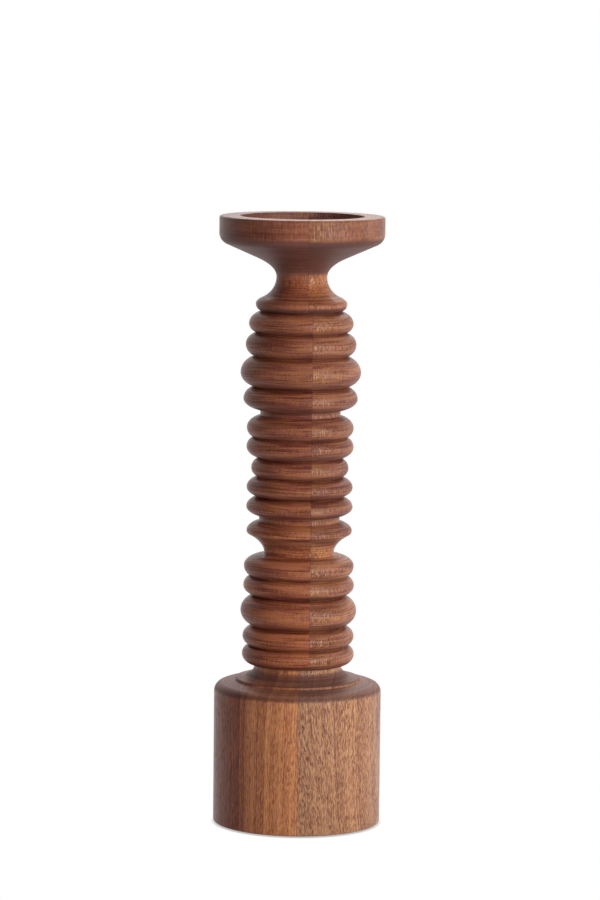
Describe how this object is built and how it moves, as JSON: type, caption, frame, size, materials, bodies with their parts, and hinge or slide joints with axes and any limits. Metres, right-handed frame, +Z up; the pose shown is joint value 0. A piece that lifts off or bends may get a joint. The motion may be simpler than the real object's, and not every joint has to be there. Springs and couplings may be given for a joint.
{
  "type": "pricket candle stand",
  "caption": "Turned wooden candle stand with a drum base, a column of rounded beads and coves, and a flared dish cup with a short steel pricket for a pillar candle.",
  "frame": {"origin": "centre of the felt pad's underside, on the surface the stand rests on", "axes": "+Z up along the turning axis; the glue lines lie in planes across X, and the view in the picture looks along +Y"},
  "size_m": [0.11, 0.11, 0.4008],
  "materials": {
    "base_left_wood": "satin lacquer",
    "base_middle_wood": "satin lacquer",
    "base_right_wood": "satin lacquer",
    "column_left_wood": "satin lacquer",
    "column_right_wood": "satin lacquer",
    "cup_left_wood": "satin lacquer",
    "cup_right_wood": "satin lacquer",
    "dowel_wood": "bare",
    "steel": "turned",
    "felt": "felt"
  },
  "bodies": {
    "root": {"base_left_stave": "base_left_wood", "base_middle_stave": "base_middle_wood", "base_right_stave": "base_right_wood", "column_left_stave": "column_left_wood", "column_right_stave": "column_right_wood", "cup_left_stave": "cup_left_wood", "cup_right_stave": "cup_right_wood", "lower_dowel": "dowel_wood", "upper_dowel": "dowel_wood", "pricket_spike": "steel", "pricket_washer": "steel", "felt_pad": "felt"}
  },
  "joints": []
}
